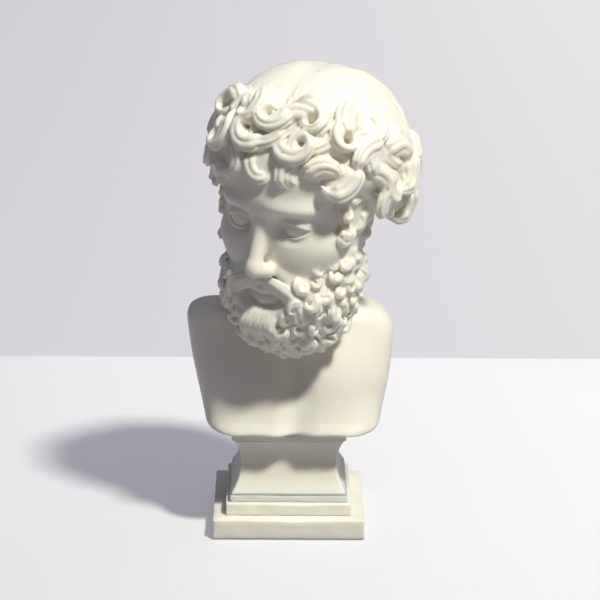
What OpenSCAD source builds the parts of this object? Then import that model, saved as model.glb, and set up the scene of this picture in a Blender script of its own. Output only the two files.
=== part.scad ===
// Desk bust of a bearded, curly-haired man on a stepped square socle.
// Sizes are in millimetres. The front faces -Y, +Z is up, and the origin is the middle of the underside.
// The socle is a stack of square courses on a central rod, and the bust turns on top of it.

/* [Socle] */
// Side of the square plinth
plinth_w = 50; // [45:0.5:60]
// Height of the plinth block
plinth_h = 6.6; // [5.8:0.1:10]
// Side of the lower step
lower_step_w = 41.6; // [39.5:0.1:46]
// Height of the lower step
lower_step_h = 4.2; // [3:0.1:8]
// Side of the upper step
upper_step_w = 38.8; // [37.8:0.1:41]
// Height of the upper step
upper_step_h = 2.4; // [1.5:0.1:5]
// Side of the waist where it stands on the upper step
waist_foot_w = 38.4; // [33:0.1:38.6]
// Side of the waist at its narrowest
waist_neck_w = 31.6; // [24:0.1:33]
// Side of the waist under the cap
waist_top_w = 36.6; // [33.2:0.1:37.6]
// Height of the waist
waist_h = 18.6; // [16:0.1:28]
// Height of the narrowest place above the foot of the waist
waist_neck_at = 10.4; // [6:0.1:14.5]
// Side of the cap
cap_w = 37.8; // [36.2:0.1:44]
// Thickness of the cap
cap_h = 2.1; // [1.8:0.1:5]

/* [Chest] */
// Width across the cut shoulders
shoulder_w = 68; // [62:0.5:76]
// Height of the shoulders above the underside of the bust
shoulder_h = 39.5; // [36:0.5:43]
// Depth of the chest from front to back
chest_d = 43; // [38:0.5:50]
// Width of the flat underside
chest_foot_w = 46; // [38:0.5:52]
// Distance of the underside to the right of the rod
chest_foot_side = 1.4; // [0:0.1:3]
// Height of the turn from the underside into each cut side
chest_corner_h = 3.5; // [2:0.1:6]
// Lean of each cut side, over the height of the chest
side_lean = 5; // [0:0.2:7]
// Radius of the left shoulder's edge
left_round = 4; // [3:0.2:7]
// Radius of the right shoulder's edge
right_round = 9; // [4:0.2:12]
// Thickness of the neck
neck_d = 35; // [31:0.5:39]
// Distance of the neck's foot to the right of the middle
neck_side = 4.6; // [0:0.2:7]
// Distance of the neck's foot behind the middle
neck_back = 1; // [-2:0.2:5]

/* [Head] */
// Height of the skull from chin to crown
head_h = 72; // [66:0.5:78]
// Width of the skull over the temples
head_w = 49; // [45:0.5:54]
// Depth of the skull from brow to back
head_d = 62; // [56:0.5:68]
// Height of the eye line above the underside of the bust
eye_line_h = 80; // [76:0.5:84]
// Distance of the head to the right of the middle
head_side = 4.8; // [2:0.2:9]
// Distance of the head in front of the middle
head_fore = 14; // [9:0.2:18]
// Turn of the head to its own right, in degrees
head_turn = 33; // [15:1:42]
// Nod of the head, in degrees
head_nod = 14; // [5:1:20]
// Lean of the head to its own left, in degrees
head_lean = 4; // [0:1:8]

/* [Hair and beard] */
// Thickness of the combed hair over the crown
hair_t = 3; // [2:0.1:4.5]
// Distance from the parting to the middle of each side of the crown
crown_side = 5; // [3:0.5:6]
// Diameter of a curl in the wreath round the hairline
wreath_curl_d = 11; // [8:0.2:12]
// Rows of curls in the wreath
wreath_rows = 3; // [2:1:4]
// Diameter of a beard curl
beard_curl_d = 6.6; // [5:0.2:8]
// Length of the beard below the chin
beard_drop = 14.4; // [9:0.2:17]

/* [Fixings] */
// Diameter of the tie rod
rod_d = 4; // [3:0.1:5]
// Depth of the tie rod in the bust
rod_grip = 15; // [10:0.5:19]
// Diameter of the brass insert in the bust
insert_d = 9; // [7:0.1:12]
// Length of the brass insert in the bust
insert_l = 20; // [12:0.5:26]
// Diameter of the brass bush in the socle
bush_d = 8; // [6.5:0.1:12]
// Length of the brass bush in the socle
bush_l = 14; // [8:0.5:18]
// Diameter of the turning washer
turning_washer_d = 28; // [16:0.5:34]
// Thickness of the turning washer
turning_washer_t = 0.4; // [0.3:0.05:1]
// Diameter of the flat washer
flat_washer_d = 9; // [8:0.1:11]
// Thickness of the flat washer
flat_washer_t = 0.8; // [0.5:0.1:1.2]
// Diameter of the spring washer
spring_washer_d = 7.6; // [7:0.1:10]
// Thickness of the spring washer
spring_washer_t = 0.9; // [0.6:0.1:1.2]
// Width of the nut across its flats
nut_flats = 7; // [6.5:0.1:8]
// Height of the nut
nut_h = 2.2; // [1.6:0.1:2.6]
// Side of the felt pad
felt_w = 45; // [38:0.5:48]
// Thickness of the felt pad
felt_t = 1; // [0.6:0.1:1.4]

/* [Clearances] */
// Radial running clearance of the rod in its bush
running_gap = 0.05; // [0.02:0.01:0.09]
// Radial clearance of the washers round the rod
washer_gap = 0.3; // [0.2:0.05:0.6]
// Radial clearance of the rod in the stone courses
course_gap = 1; // [0.5:0.1:2]
// Radial clearance round the nut and washers in the counterbore
counterbore_gap = 1.2; // [0.6:0.1:2]
// Room between the end of the rod and the felt
felt_gap = 0.2; // [0.1:0.05:0.5]
// Height that the felt stands out below the plinth
felt_proud = 0.4; // [0.2:0.05:0.6]
// Length of rod below the nut
rod_tip = 0.3; // [0.1:0.05:0.6]

/* [Hidden] */
stone = "ivory";
$fn = 64;
// Extra length of a cutting tool past the face that it opens
past = 1;

// Heights of the stack above the surface that it stands on
plinth_top = felt_proud + plinth_h;
lower_step_top = plinth_top + lower_step_h;
upper_step_top = lower_step_top + upper_step_h;
waist_top = upper_step_top + waist_h;
cap_top = waist_top + cap_h;
seat = cap_top + turning_washer_t;

// Fixings in the counterbore, from the felt upward
rod_foot = felt_t + felt_gap;
nut_foot = rod_foot + rod_tip;
spring_washer_foot = nut_foot + nut_h;
flat_washer_foot = spring_washer_foot + spring_washer_t;
counterbore_roof = flat_washer_foot + flat_washer_t;
nut_points = nut_flats / cos(30);
counterbore_d = max(flat_washer_d, nut_points) + 2 * counterbore_gap;
course_bore = rod_d + 2 * course_gap;
washer_bore = rod_d + 2 * washer_gap;
spring_gap_angle = 18;

// Bust: the trunk is a loft up into the head, and the head is a skin of rings in its own tilted frame
skin_sides = 72;
golden = 0.618;
function rot_x(a, v) = [v.x, v.y * cos(a) - v.z * sin(a), v.y * sin(a) + v.z * cos(a)];
function rot_y(a, v) = [v.x * cos(a) + v.z * sin(a), v.y, v.z * cos(a) - v.x * sin(a)];
function rot_z(a, v) = [v.x * cos(a) - v.y * sin(a), v.x * sin(a) + v.y * cos(a), v.z];
function times(a, b) = [a.x * b.x, a.y * b.y, a.z * b.z];
function mix(a, b, s) = a + (b - a) * s;
// Part of a number after its point, for sizes that vary without a pattern
function part_of(v) = v - floor(v);
// Hump of height 1 that dies away over a width
function hump(v, width) = exp(-(v / width) ^ 2);

// Closed skin over rings of points, with a single point below and above, or a flat foot
module skin(rings, top, foot = undef) {
    last = len(rings) - 1;
    n = len(rings[0]);
    points = concat([for (r = rings) each r], [top], is_undef(foot) ? [] : [foot]);
    function at(r, i) = r * n + i % n;
    walls = [
        for (r = [0:last - 1])
            for (i = [0:n - 1])
                each [[at(r, i), at(r + 1, i), at(r + 1, i + 1)], [at(r, i), at(r + 1, i + 1), at(r, i + 1)]]
    ];
    apex = (last + 1) * n;
    lid = [for (i = [0:n - 1]) [at(last, i), apex, at(last, i + 1)]];
    flat = [[for (i = [0:n - 1]) i]];
    point = [for (i = [0:n - 1]) [i, (i + 1) % n, apex + 1]];
    polyhedron(points, concat(walls, lid, is_undef(foot) ? flat : point));
}

// Head frame: x to the right, y to the back, z up, from the middle of the eye line
head_middle = [head_side, -head_fore, seat + eye_line_h];
skull = [head_w / 2, head_d / 2, head_h / 2];
function head_way(v) = rot_z(-head_turn, rot_x(head_nod, rot_y(head_lean, v)));
function head_at(v) = head_middle + head_way(v);

// A form of the head is an egg: its middle and its half sizes, in the head's frame
function form(c, r) = [times(c, skull), times(r, skull)];
function ball(c, r) = [c, [r, r, r]];

// Distance along a level ray to the far side of a form, or 0 where it misses
function reach(p, d, f) =
    let (m = [(p.x - f[0].x) / f[1].x, (p.y - f[0].y) / f[1].y, (p.z - f[0].z) / f[1].z])
    let (n = [d.x / f[1].x, d.y / f[1].y, 0])
    let (under = (m * n) ^ 2 - (n * n) * (m * m - 1))
    under < 0 ? 0 : max(0, (sqrt(under) - m * n) / (n * n));

// Largest of some reaches, with a soft turn from one form to the next
flesh_blend = 1.5;
function add_up(list) = list * [for (v = list) 1];
function soft_max(list) =
    let (top = max(list))
    top + flesh_blend * ln(add_up([for (t = list) exp((t - top) / flesh_blend)]));

// Trunk: rings from the underside up the cut sides, over the shoulders and up the neck
foot_steps = 4;
side_steps = 5;
shoulder_steps = 5;
sweep_steps = 5;
neck_steps = 3;
// Height of the sweep from the shoulders up to the neck, and half depth of the shoulders' ridge there
neck_sweep = 8;
ridge = 9;
// Share by which each cut side swells
side_swell = 0.7;
shoulder_round = [left_round, right_round];
shoulder_turn = max(shoulder_round);
corner_out = (shoulder_w - 2 * side_lean - chest_foot_w) / 2;
neck_r = neck_d / 2;
neck_foot = [neck_side, neck_back, shoulder_h];
// Top of the neck, inside the head
neck_top = head_at(times([0, 0.065, -0.4], skull)) - [0, 0, seat];
trunk_heights = [
    for (i = [0:foot_steps]) chest_corner_h * (1 - cos(90 * i / foot_steps)),
    for (i = [1:side_steps]) mix(chest_corner_h, shoulder_h - shoulder_turn, i / side_steps),
    for (i = [1:shoulder_steps]) shoulder_h - shoulder_turn * (1 - sin(90 * i / shoulder_steps)),
    for (i = [1:sweep_steps]) shoulder_h + neck_sweep * (1 - cos(90 * i / sweep_steps)),
    for (i = [1:neck_steps]) mix(shoulder_h + neck_sweep, neck_top.z, i / neck_steps)
];

// Half width of the trunk on the left (0) or the right (1), at a height above the underside
function corner_half(h) = chest_foot_w / 2 + corner_out * sin(acos(1 - h / chest_corner_h));
function side_half(s) = shoulder_w / 2 - side_lean * (1 - mix(s, sin(90 * s), side_swell));
function edge_half(h, edge) = shoulder_w / 2 - edge * (1 - cos(asin(min(1, 1 - (shoulder_h - h) / edge))));
function trunk_half(h, side) =
    let (edge = shoulder_round[side])
    let (top = shoulder_h - edge)
    h < chest_corner_h ? corner_half(h) :
    h < top ? side_half((h - chest_corner_h) / (top - chest_corner_h)) :
    h <= shoulder_h ? edge_half(h, edge) : sweep_half(h, edge, 2 * side - 1);

// Front and back of the chest, as shares of its depth, at a share of the height of the shoulders
front_at = [[0, 0.57], [0.12, 0.52], [0.38, 0.45], [0.62, 0.39], [0.85, 0.33], [1, 0.3]];
back_at = [[0, 0.4], [0.2, 0.46], [0.6, 0.48], [0.9, 0.46], [1, 0.45]];
// Squareness of the chest's rings, where 2 is an ellipse
square_at = [[0, 5], [0.3, 3.2], [1, 2.7]];
// Rounding of the shoulders from front to back: height where it starts, half depth there, and squareness
beam_foot = 14;
beam_half = 27;
beam_square = 2.8;
function beam(h) =
    let (up = min(1, max(0, (h - beam_foot) / (shoulder_h - beam_foot))))
    max(ridge, beam_half * (1 - up ^ beam_square) ^ (1 / beam_square));
// Relief of the breast: height, share of the shoulder height, and angles from the middle of the front
front_angle = 270;
breast_rise = 1;
breast_groove = 0.8;
breast_at = 0.42;
breast_tall = 0.3;
breast_side = 38;
breast_wide = 20;
groove_wide = 9;

// Middle of the neck, which leans from its foot to its top, and of a trunk ring, which moves over to it
function neck_middle(h) =
    let (p = mix(neck_foot, neck_top, max(0, (h - neck_foot.z) / (neck_top.z - neck_foot.z))))
    [p.x, p.y, h];
function trunk_middle(h) =
    let (chest = [chest_foot_side * max(0, 1 - h / shoulder_h), 0, h])
    mix(chest, neck_middle(h), lookup(h, [[shoulder_h, 0], [shoulder_h + neck_sweep, 1]]));
function sweep_half(h, edge, way) =
    let (s = sin(acos(max(0, 1 - (h - shoulder_h) / neck_sweep))))
    let (end = mix(way * (shoulder_w / 2 - edge), neck_middle(h).x + way * neck_r, s))
    way * (end - trunk_middle(h).x);
function chest_reach(h, a) =
    let (share = h / shoulder_h)
    let (wide = trunk_half(h, cos(a) < 0 ? 0 : 1))
    let (deep = min(beam(h), chest_d * lookup(share, sin(a) < 0 ? front_at : back_at)))
    let (power = lookup(share, square_at))
    let (front = sin(a) < 0 ? hump(share - breast_at, breast_tall) : 0)
    let (rise = breast_rise * hump(abs(a - front_angle) - breast_side, breast_wide))
    let (groove = breast_groove * hump(a - front_angle, groove_wide))
    (abs(cos(a) / wide) ^ power + abs(sin(a) / deep) ^ power) ^ (-1 / power) + front * (rise - groove);
// Height above the underside from which the neck shows in the rings
neck_from = 0.7 * shoulder_h;
function trunk_ring(h) =
    let (middle = trunk_middle(h))
    let (neck = [neck_middle(h), [neck_r, neck_r, neck_r]])
    [
        for (i = [0:skin_sides - 1])
            let (a = i * 360 / skin_sides)
            let (d = [cos(a), sin(a), 0])
            let (chest = chest_reach(h, a))
            [0, 0, seat] + middle + (h < neck_from ? chest : max(chest, reach(middle, d, neck))) * d
    ];

// Head and face, on a plain canon: eyes half way up, nose base half way from there to the chin
cap_middle = times([0, 0.2, 0.24], skull);
cap_half = times([1, 0.9, 0.78], skull) + [hair_t, hair_t, hair_t];
crown = cap_middle.z + cap_half.z;
// Share of the parting by which each side of the crown is narrower than the whole
crown_draw = 0.4;
flesh = [
    for (s = [-1, 1]) [cap_middle + [s * crown_side, 0, 0], cap_half - [crown_draw * crown_side, 0, 0]],
    form([0, 0.06, 0.2], [0.98, 0.93, 0.76]),
    form([0, -0.28, -0.3], [0.8, 0.64, 0.74]),
    form([0, -0.38, -0.66], [0.6, 0.5, 0.3]),
    form([0, -0.66, -0.86], [0.26, 0.22, 0.12]),
    form([0, -0.84, -0.04], [0.1, 0.14, 0.26]),
    form([0, -0.94, -0.26], [0.11, 0.14, 0.2]),
    form([0, -1.03, -0.42], [0.13, 0.13, 0.09]),
    form([0, -0.9, -0.64], [0.26, 0.1, 0.07]),
    for (s = [-1, 1])
        each [
            form([0.34 * s, -0.66, 0.2], [0.4, 0.2, 0.12]),
            form([0.4 * s, -0.64, 0], [0.19, 0.17, 0.09]),
            form([0.16 * s, -0.92, -0.44], [0.09, 0.12, 0.07]),
            form([0.42 * s, -0.54, -0.3], [0.34, 0.26, 0.3])
        ]
];

// Point on an egg round a middle, at an angle round from the front and an angle up
function on_egg(middle, half, round, rise) =
    let (d = [sin(round) * cos(rise), -cos(round) * cos(rise), sin(rise)])
    middle + d / norm([d.x / half.x, d.y / half.y, d.z / half.z]);
function curl_r(d, i) = d * (0.44 + 0.1 * part_of(i * golden));

// Wreath of large curls: its rows rise to the front and fall to the nape; the lowest stops at the temples
// Angle up of the first row at the sides, and its rise from there to the front
wreath_rise = -1;
wreath_swing = 25;
// Spacing of curls as a share of their diameter
wreath_lap = 0.8;
// Angle round from the front where the lowest row begins
wreath_temple = 72;
// Share by which the rows close up at the front
wreath_crowd = 0.14;
wreath_row_step = wreath_curl_d * wreath_lap / cap_half.z * 180 / PI;
wreath_half = cap_half + [0.36, 0, 0] * wreath_curl_d;
function wreath_count(row) =
    round(2 * PI * cap_half.y * cos(wreath_rise + row * wreath_row_step) / (wreath_curl_d * wreath_lap));
// The rows lie down towards the back: depth of the top row, share of it for the others, and where it begins
wreath_lie = 4.2;
wreath_lie_share = 0.35;
wreath_lie_from = 70;
wreath_lie_to = 110;
function wreath_sink(round, row) =
    let (behind = lookup(-cos(round), [[-cos(wreath_lie_from), 0], [-cos(wreath_lie_to), 1]]))
    wreath_lie * behind * lookup(row, [[wreath_rows - 2, wreath_lie_share], [wreath_rows - 1, 1]]);
// Size of the lesser curls between two rows
wreath_between = 0.85;
wreath = [
    for (row = [-1:0.5:wreath_rows - 0.5])
        let (grade = row == floor(row) ? 1 : wreath_between)
        for (i = [0:wreath_count(row) - 1])
            let (round = (i + row / 2) * 360 / wreath_count(row))
            let (row_step = wreath_row_step * (1 - wreath_crowd * cos(round)))
            let (rise = wreath_rise + wreath_swing * cos(round) + row * row_step)
            let (half = wreath_half - wreath_sink(round, row) * [1, 1, 1])
            let (low = row >= 0 || cos(round) < cos(wreath_temple))
            let (high = row <= wreath_rows - 1 || cos(round) < cos(wreath_lie_to))
            if (low && high)
                ball(on_egg(cap_middle, half, round, rise), curl_r(grade * wreath_curl_d, i + row))
];

// Beard: a full form under the jaw with rows of small curls over it, open round the mouth
beard_middle = times([0, -0.38, -0.74], skull);
beard_half = [0.87 * skull.x, 0.64 * skull.y, 0.26 * skull.z + beard_drop - beard_curl_d / 4];
beard_lap = 0.84;
beard_step = beard_curl_d * beard_lap / beard_half.y * 180 / PI;
// Angles of the first and last row and of their ends, and of the gap at the mouth
beard_top = 50;
beard_low = -70;
beard_side = 108;
mouth_half = 30;
mouth_low = -4;
beard_rows = [for (rise = [beard_top:-beard_step:beard_low]) rise];
beard = [
    for (row = [0:len(beard_rows) - 1])
        let (rise = beard_rows[row])
        let (step = beard_step / max(0.3, cos(rise)))
        for (i = [-floor(beard_side / step):floor(beard_side / step)])
            let (round = (i + (row % 2) / 2) * step)
            if (abs(round) > mouth_half || rise < mouth_low)
                ball(on_egg(beard_middle, beard_half, round, rise), curl_r(beard_curl_d, i + row)),
    ball(on_egg(beard_middle, beard_half, 0, -90), curl_r(beard_curl_d, 0))
];

// Sideburns, moustache and the tuft under the lip
sideburn_steps = 5;
sideburn_top = [1, -0.3, 0.3];
sideburn_foot = [0.88, -0.36, -0.56];
sideburn_size = 0.6;
locks = [
    for (s = [-1, 1])
        each [
            for (i = [0:sideburn_steps])
                let (p = times(mix(sideburn_top, sideburn_foot, i / sideburn_steps), skull))
                ball([s * p.x, p.y, p.z], sideburn_size * beard_curl_d),
            form([0.22 * s, -0.9, -0.55], [0.26, 0.13, 0.075]),
            form([0.46 * s, -0.78, -0.66], [0.17, 0.14, 0.13])
        ],
    form([0, -0.84, -0.86], [0.26, 0.17, 0.16])
];
curls = concat([[beard_middle, beard_half]], wreath, beard, locks);

// Rings of the head, from the tip of the beard to the crown
head_rings = 50;
beard_foot = beard_middle.z - beard_half.z - 0.4 * beard_curl_d;
function head_mast(s) = [0, mix(beard_middle.y, cap_middle.y, s), mix(beard_foot, crown, s)];
crown_tip = head_at(head_mast(1));
beard_tip = head_at(head_mast(0));
function near(forms, z) = [for (f = forms) if (abs(f[0].z - z) < f[1].z) f];
function head_ring(s) =
    let (p = head_mast(0.75 * s + 0.25 * sin(90 * s)))
    let (soft = near(flesh, p.z))
    let (hard = near(curls, p.z))
    [
        for (i = [0:skin_sides - 1])
            let (a = i * 360 / skin_sides)
            let (d = [cos(a), sin(a), 0])
            let (r = len(soft) > 0 ? soft_max([for (f = soft) reach(p, d, f)]) : 0)
            head_at(p + d * max([r, for (f = hard) reach(p, d, f)]))
    ];

// Square slab with a round hole up its middle
module course(side, foot, height, bore) {
    difference() {
        translate([-side / 2, -side / 2, foot])
            cube([side, side, height]);
        translate([0, 0, foot - past])
            cylinder(d = bore, h = height + 2 * past);
    }
}

// Round washer or bush
module ring(outer, inner, foot, height) {
    difference() {
        translate([0, 0, foot])
            cylinder(d = outer, h = height);
        translate([0, 0, foot - past])
            cylinder(d = inner, h = height + 2 * past);
    }
}

// Plinth with a recess for the felt and a counterbore for the nut
module plinth() {
    color(stone)
        difference() {
            course(plinth_w, felt_proud, plinth_h, course_bore);
            translate([-felt_w / 2, -felt_w / 2, felt_proud - past])
                cube([felt_w, felt_w, felt_t - felt_proud + past]);
            cylinder(d = counterbore_d, h = counterbore_roof);
        }
}

module lower_step() {
    color(stone)
        course(lower_step_w, plinth_top, lower_step_h, course_bore);
}

module upper_step() {
    color(stone)
        course(upper_step_w, lower_step_top, upper_step_h, course_bore);
}

// Hollow curve of the waist on one side: two arcs that meet upright at the narrowest place
waist_arc_steps = 10;
function hollow(out, high, s) =
    let (r = (out ^ 2 + high ^ 2) / (2 * out))
    let (a = asin(high / r) * s)
    [r - r * cos(a), r * sin(a)];
waist_side = [
    for (i = [waist_arc_steps:-1:0])
        let (p = hollow((waist_foot_w - waist_neck_w) / 2, waist_neck_at, i / waist_arc_steps))
        [waist_neck_w / 2 + p.x, waist_neck_at - p.y],
    for (i = [1:waist_arc_steps])
        let (p = hollow((waist_top_w - waist_neck_w) / 2, waist_h - waist_neck_at, i / waist_arc_steps))
        [waist_neck_w / 2 + p.x, waist_neck_at + p.y]
];
waist_outline = concat(
    waist_side,
    [for (i = [len(waist_side) - 1:-1:0]) [-waist_side[i].x, waist_side[i].y]]
);
module waist_prism() {
    width = max(waist_foot_w, waist_top_w) + 2 * past;
    translate([0, width / 2, upper_step_top])
        rotate([90, 0, 0])
            linear_extrude(height = width)
                polygon(waist_outline);
}

// Waist with hollowed faces on all four sides, bored for the rod and for the bush
module socle_waist() {
    color(stone)
        difference() {
            intersection() {
                waist_prism();
                rotate([0, 0, 90])
                    waist_prism();
            }
            translate([0, 0, upper_step_top - past])
                cylinder(d = course_bore, h = waist_h + 2 * past);
            translate([0, 0, cap_top - bush_l])
                cylinder(d = bush_d, h = bush_l);
        }
}

module socle_cap() {
    color(stone)
        course(cap_w, waist_top, cap_h, bush_d);
}

module guide_bush() {
    color("goldenrod")
        ring(bush_d, rod_d + 2 * running_gap, cap_top - bush_l, bush_l);
}

module turning_washer() {
    color("whitesmoke")
        ring(turning_washer_d, course_bore, cap_top, turning_washer_t);
}

module flat_washer() {
    color("silver")
        ring(flat_washer_d, washer_bore, flat_washer_foot, flat_washer_t);
}

module felt_pad() {
    color("dimgray")
        translate([-felt_w / 2, -felt_w / 2, 0])
            cube([felt_w, felt_w, felt_t]);
}

// Head and shoulders in one piece, with a pocket for the insert
module bust() {
    color(stone)
        difference() {
            union() {
                skin([for (h = trunk_heights) trunk_ring(h)], [0, 0, seat] + neck_top);
                skin([for (i = [1:head_rings]) head_ring(i / (head_rings + 1))], crown_tip, beard_tip);
            }
            translate([0, 0, seat - past])
                cylinder(d = insert_d, h = insert_l + past);
        }
}

module bust_insert() {
    color("goldenrod")
        ring(insert_d, rod_d, seat, insert_l);
}

module tie_rod() {
    color("silver")
        translate([0, 0, rod_foot])
            cylinder(d = rod_d, h = seat + rod_grip - rod_foot);
}

// Split washer
module spring_washer() {
    color("silver")
        translate([0, 0, spring_washer_foot])
            rotate_extrude(angle = 360 - spring_gap_angle)
                translate([washer_bore / 2, 0])
                    square([(spring_washer_d - washer_bore) / 2, spring_washer_t]);
}

module nut() {
    color("silver")
        difference() {
            translate([0, 0, nut_foot])
                cylinder(d = nut_points, h = nut_h, $fn = 6);
            translate([0, 0, nut_foot - past])
                cylinder(d = rod_d, h = nut_h + 2 * past);
        }
}

plinth();
lower_step();
upper_step();
socle_waist();
socle_cap();
guide_bush();
turning_washer();
flat_washer();
felt_pad();
bust();
bust_insert();
tie_rod();
spring_washer();
nut();
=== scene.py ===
"""Looks of a desk bust: a bearded, curly-haired head on cut shoulders, standing on a stepped square socle.

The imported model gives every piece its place. The bust is modelled here as clay: rounded forms and locks of
hair are merged on a grid of distances, and the surface at distance zero becomes the mesh.
Sculpting is in millimetres, the scene is in metres. +Z is up and the front of the socle faces -Y.
"""

import math
import random

import bmesh
import bpy
import numpy as np
import openvdb
from mathutils import Matrix, Vector


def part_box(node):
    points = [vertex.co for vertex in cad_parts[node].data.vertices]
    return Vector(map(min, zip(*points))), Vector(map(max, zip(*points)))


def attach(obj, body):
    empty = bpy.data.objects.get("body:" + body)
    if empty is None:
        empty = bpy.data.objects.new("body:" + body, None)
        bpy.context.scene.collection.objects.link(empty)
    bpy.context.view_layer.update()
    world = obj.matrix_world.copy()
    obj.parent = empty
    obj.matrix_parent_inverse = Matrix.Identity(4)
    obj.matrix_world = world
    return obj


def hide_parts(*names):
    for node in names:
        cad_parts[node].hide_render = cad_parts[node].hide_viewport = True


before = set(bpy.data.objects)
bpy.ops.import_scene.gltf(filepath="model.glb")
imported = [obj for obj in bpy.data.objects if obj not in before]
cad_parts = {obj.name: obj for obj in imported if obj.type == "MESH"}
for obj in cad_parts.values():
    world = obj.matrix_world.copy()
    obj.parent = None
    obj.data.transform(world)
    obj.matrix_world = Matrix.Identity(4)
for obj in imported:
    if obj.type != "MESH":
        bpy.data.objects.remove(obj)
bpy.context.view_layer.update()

MM = 0.001
SIDES = (-1, 1)
# Points of a mesh nearer than this, in millimetres, become one
TOUCH = 0.002
draw = random.Random(11)


def box_mm(node):
    """Lowest and highest corner of a CAD node, in millimetres."""
    return [np.array(corner, float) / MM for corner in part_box(node)]


# Clay: signed distances on a grid of points, below zero inside
VOXEL = 0.32
FAR = 9.0
# Room round a form within which its distances are worked out
MARGIN = 1.6


def soft_min(a, b, soft):
    """Smaller of two distances, with a fillet of about the size soft where they are alike."""
    share = np.clip(0.5 + 0.5 * (b - a) / soft, 0, 1)
    return b + (a - b) * share - soft * share * (1 - share)


def soft_max(a, b, soft):
    """Larger of two distances, with a soft turn between them."""
    return -soft_min(-a, -b, soft)


class Clay:
    """Field of distances that forms are added to and cut from."""

    def __init__(self, low, high):
        self.axes = [np.arange(a, b, VOXEL, dtype=np.float32) for a, b in zip(low, high)]
        self.field = np.full([len(axis) for axis in self.axes], FAR, np.float32)

    def block(self, low, high):
        """Slices of the grid between two corners, and the points there."""
        spans = [slice(*np.searchsorted(axis, ends)) for axis, *ends in zip(self.axes, low, high)]
        x, y, z = (axis[span] for axis, span in zip(self.axes, spans))
        return tuple(spans), (x[:, None, None], y[None, :, None], z[None, None, :])

    def add(self, low, high, shape, soft):
        """Merges a form into the clay."""
        spans, points = self.block(low, high)
        self.field[spans] = soft_min(self.field[spans], shape(*points), soft)

    def cut(self, low, high, shape, soft):
        """Takes a form out of the clay."""
        spans, points = self.block(low, high)
        self.field[spans] = soft_max(self.field[spans], -shape(*points), soft)

    def merge(self, other, soft):
        """Merges another field of the same grid."""
        self.field = soft_min(self.field, other.field, soft)


def rotation(turn, nod=0, lean=0):
    """Turn about z after a nod about x after a lean about y, in degrees."""
    spins = [Matrix.Rotation(math.radians(a), 3, axis) for a, axis in ((turn, "Z"), (nod, "X"), (lean, "Y"))]
    return np.array(spins[0] @ spins[1] @ spins[2])


# Head frame: x to the right, y to the back, z up, from the middle of the eye line
SEAT = box_mm("bust")[0][2]
EYE_LINE_H, HEAD_SIDE, HEAD_FORE = 80, 4.8, 14
HEAD_MIDDLE = np.array([HEAD_SIDE, -HEAD_FORE, SEAT + EYE_LINE_H])
HEAD_WAY = rotation(turn=-33, nod=14, lean=4)
SKULL = np.array([24.5, 31, 36])


def head_at(point):
    """Place in the bust of a point of the head frame."""
    return HEAD_MIDDLE + HEAD_WAY @ np.asarray(point, float)


def in_head(x, y, z, origin=HEAD_MIDDLE):
    """Grid points along the head's axes, from an origin in the bust."""
    shift = (x - origin[0], y - origin[1], z - origin[2])
    return [sum(shift[k] * HEAD_WAY[k, axis] for k in range(3)) for axis in range(3)]


def egg_form(middle, way, half):
    """Shape of an egg: approximate distance to it, at points of the grid."""
    def shape(x, y, z):
        near = far = 0
        for axis in range(3):
            ray = way[:, axis]
            along = (x - middle[0]) * ray[0] + (y - middle[1]) * ray[1] + (z - middle[2]) * ray[2]
            near = near + (along / half[axis]) ** 2
            far = far + (along / half[axis] ** 2) ** 2
        near = np.sqrt(near)
        return near * (near - 1) / np.maximum(np.sqrt(far), 1e-6)
    return shape


def egg_box(middle, way, half, room):
    """Corners of the box round an egg."""
    reach = np.sqrt(((way * half) ** 2).sum(axis=1)) + room
    return middle - reach, middle + reach


def egg(clay, middle, half, soft, turn=(0, 0, 0), cut=False):
    """Adds an egg in the head frame, or cuts it out."""
    centre = head_at(middle)
    way = HEAD_WAY @ rotation(*turn)
    half = np.array(half, float)
    work = clay.cut if cut else clay.add
    work(*egg_box(centre, way, half, MARGIN + soft), egg_form(centre, way, half), soft)


def pair(clay, middle, half, soft, turn=(0, 0, 0), cut=False):
    """The same egg on both sides of the head."""
    for side in SIDES:
        spin = (side * turn[0], turn[1], side * turn[2])
        egg(clay, (side * middle[0], middle[1], middle[2]), half, soft, spin, cut)


def cone_chain(path, radii):
    """Shape of a round rod through some points, with a radius at each."""
    def shape(x, y, z):
        best = None
        for a, b, ra, rb in zip(path, path[1:], radii, radii[1:]):
            run = b - a
            px, py, pz = x - a[0], y - a[1], z - a[2]
            t = np.clip((px * run[0] + py * run[1] + pz * run[2]) / max(run @ run, 1e-9), 0, 1)
            d = np.sqrt((px - t * run[0]) ** 2 + (py - t * run[1]) ** 2 + (pz - t * run[2]) ** 2)
            d = d - (ra + t * (rb - ra))
            best = d if best is None else np.minimum(best, d)
        return best
    return shape


def rod(clay, path, radii, soft, cut=False):
    """Adds a round rod through some points, or cuts it out."""
    path = np.asarray(path, float)
    room = max(radii) + MARGIN + soft
    work = clay.cut if cut else clay.add
    work(path.min(axis=0) - room, path.max(axis=0) + room, cone_chain(path, radii), soft)


def head_rod(clay, points, radii, soft, cut=False):
    """A rod whose points are in the head frame."""
    rod(clay, [head_at(p) for p in points], radii, soft, cut)


# Trunk: cut shoulders as rings that change with height above the underside, and the neck
SHOULDER_W, SHOULDER_H, CHEST_D = 68, 39.5, 43
CHEST_FOOT_W, CHEST_FOOT_SIDE, CHEST_CORNER_H = 46, 1.4, 3.5
SIDE_LEAN, SIDE_SWELL, NECK_D = 5, 0.7, 35
# Radius of the neck at its foot, under the jaw and in the head, as shares of its diameter
NECK_SHARES = (0.5, 0.475, 0.48)
# Rounding of the left and the right shoulder
SHOULDER_ROUND = (4, 9)
NECK_FOOT = np.array([4.6, 1, SEAT + SHOULDER_H - 4])
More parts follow.
